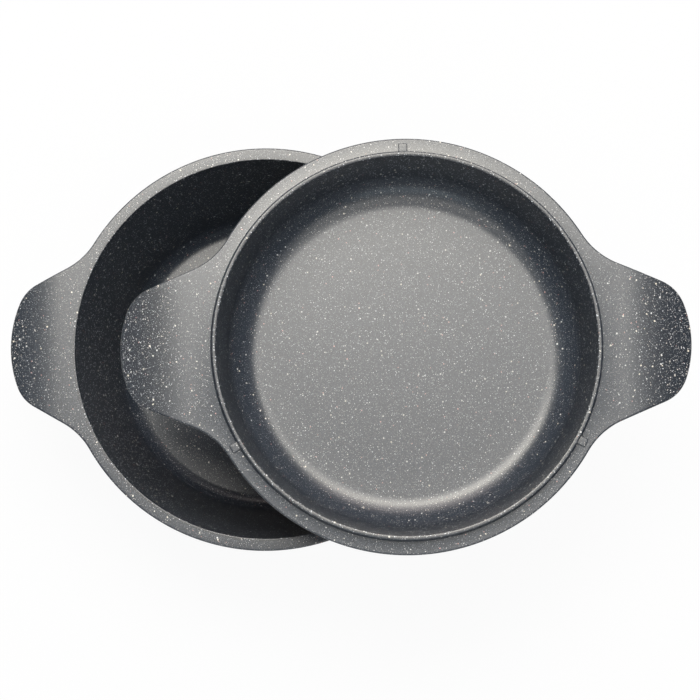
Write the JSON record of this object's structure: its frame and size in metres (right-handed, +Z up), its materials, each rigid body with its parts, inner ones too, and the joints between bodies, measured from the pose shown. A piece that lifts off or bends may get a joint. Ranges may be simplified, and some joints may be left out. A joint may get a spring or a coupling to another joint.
{
  "type": "pot with frying pan lid",
  "caption": "Deep cast pot with paddle handles and a shallow frying pan with matching handles, which stands on its rim and, turned over, is its lid.",
  "frame": {"origin": "centre of the pot's underside, on the surface that the pot stands on", "axes": "+Z up, the way the pan lifts off; +X along the pot's handles, to the side that the pan is set towards; +Y to the back"},
  "size_m": [0.4643, 0.283, 0.169],
  "materials": {
    "speckled_coating": "satin non-stick coating, grey with fine light specks"
  },
  "bodies": {
    "pot": {"pot": "speckled_coating"},
    "pan_lid": {"pan_lid": "speckled_coating"}
  },
  "joints": [
    {"name": "pan_lift", "type": "slide", "parent": "pot", "child": "pan_lid", "axis": [0, 0, 1], "range_m": [0, 0.15]}
  ]
}
